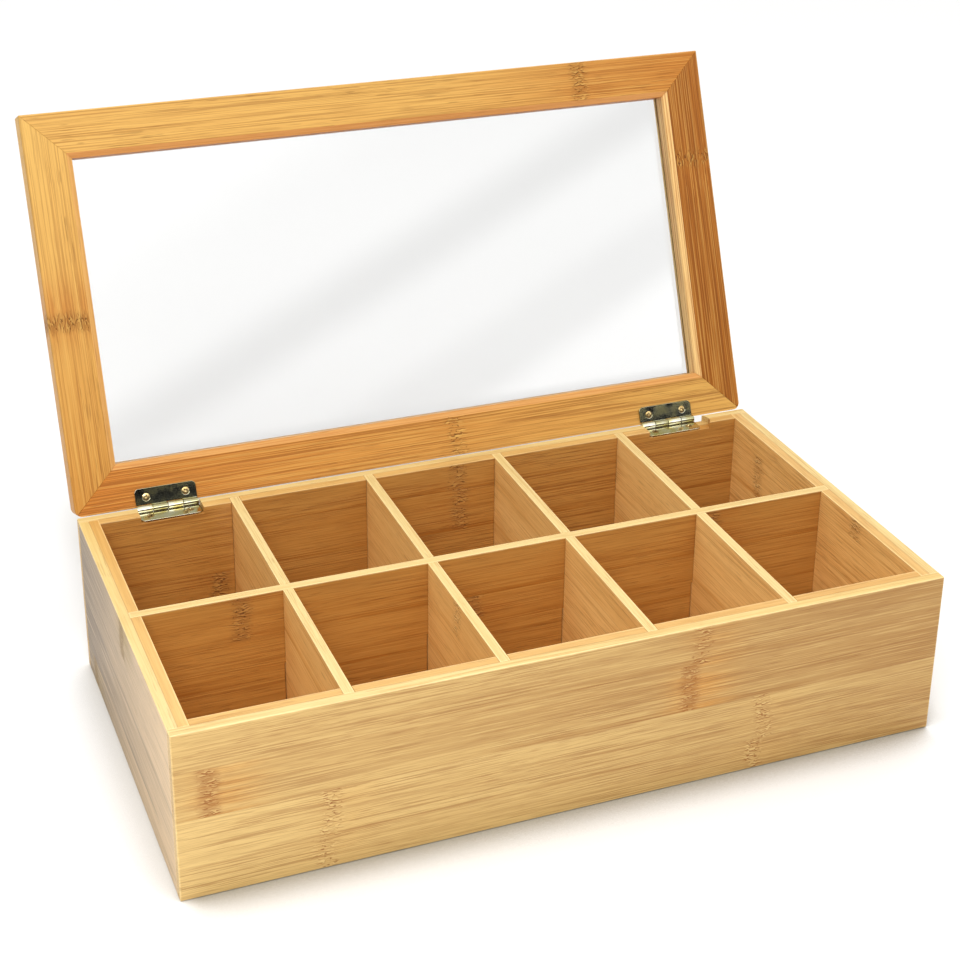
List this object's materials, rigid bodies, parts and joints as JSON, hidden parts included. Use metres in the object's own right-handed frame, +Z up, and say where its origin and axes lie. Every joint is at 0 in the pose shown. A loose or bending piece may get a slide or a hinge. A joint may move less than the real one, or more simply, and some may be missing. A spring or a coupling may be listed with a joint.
{
  "type": "tea bag box",
  "caption": "Bamboo tea box with a grid of open compartments and a hinged, mitred lid frame holding a clear pane, shown open.",
  "frame": {"origin": "middle of the box's footprint, on its underside, which stands on the table", "axes": "+X to the right along the front, +Y from front to back, +Z up; the lid is hinged along the back"},
  "size_m": [0.38, 0.298, 0.2746],
  "materials": {
    "wall_bamboo": "light laminated bamboo, sanded and clear satin lacquered",
    "inside_bamboo": "laminated bamboo, satin lacquered",
    "lid_bamboo": "warmer laminated bamboo, satin lacquered",
    "clear_acrylic": "clear polished acrylic sheet",
    "nickel_hinge": "polished nickel plate on steel",
    "brass_screw": "brass-plated countersunk screws"
  },
  "bodies": {
    "box": {"front_wall": "wall_bamboo", "back_wall": "wall_bamboo", "left_wall": "wall_bamboo", "right_wall": "wall_bamboo", "bottom_panel": "inside_bamboo", "long_divider": "inside_bamboo", "cross_divider_1": "inside_bamboo", "cross_divider_2": "inside_bamboo", "cross_divider_3": "inside_bamboo", "cross_divider_4": "inside_bamboo", "left_hinge_box_leaf": "nickel_hinge", "left_hinge_pin": "nickel_hinge", "left_hinge_box_screws": "brass_screw", "right_hinge_box_leaf": "nickel_hinge", "right_hinge_pin": "nickel_hinge", "right_hinge_box_screws": "brass_screw"},
    "lid": {"lid_front_rail": "lid_bamboo", "lid_back_rail": "lid_bamboo", "lid_left_rail": "lid_bamboo", "lid_right_rail": "lid_bamboo", "lid_pane": "clear_acrylic", "left_hinge_lid_leaf": "nickel_hinge", "left_hinge_lid_screws": "brass_screw", "right_hinge_lid_leaf": "nickel_hinge", "right_hinge_lid_screws": "brass_screw"}
  },
  "joints": [
    {"name": "lid_hinge", "type": "hinge", "parent": "box", "child": "lid", "pos_m": [0, 0.1035, 0.0843], "axis": [1, 0, 0], "range_deg": [0, 112]}
  ]
}
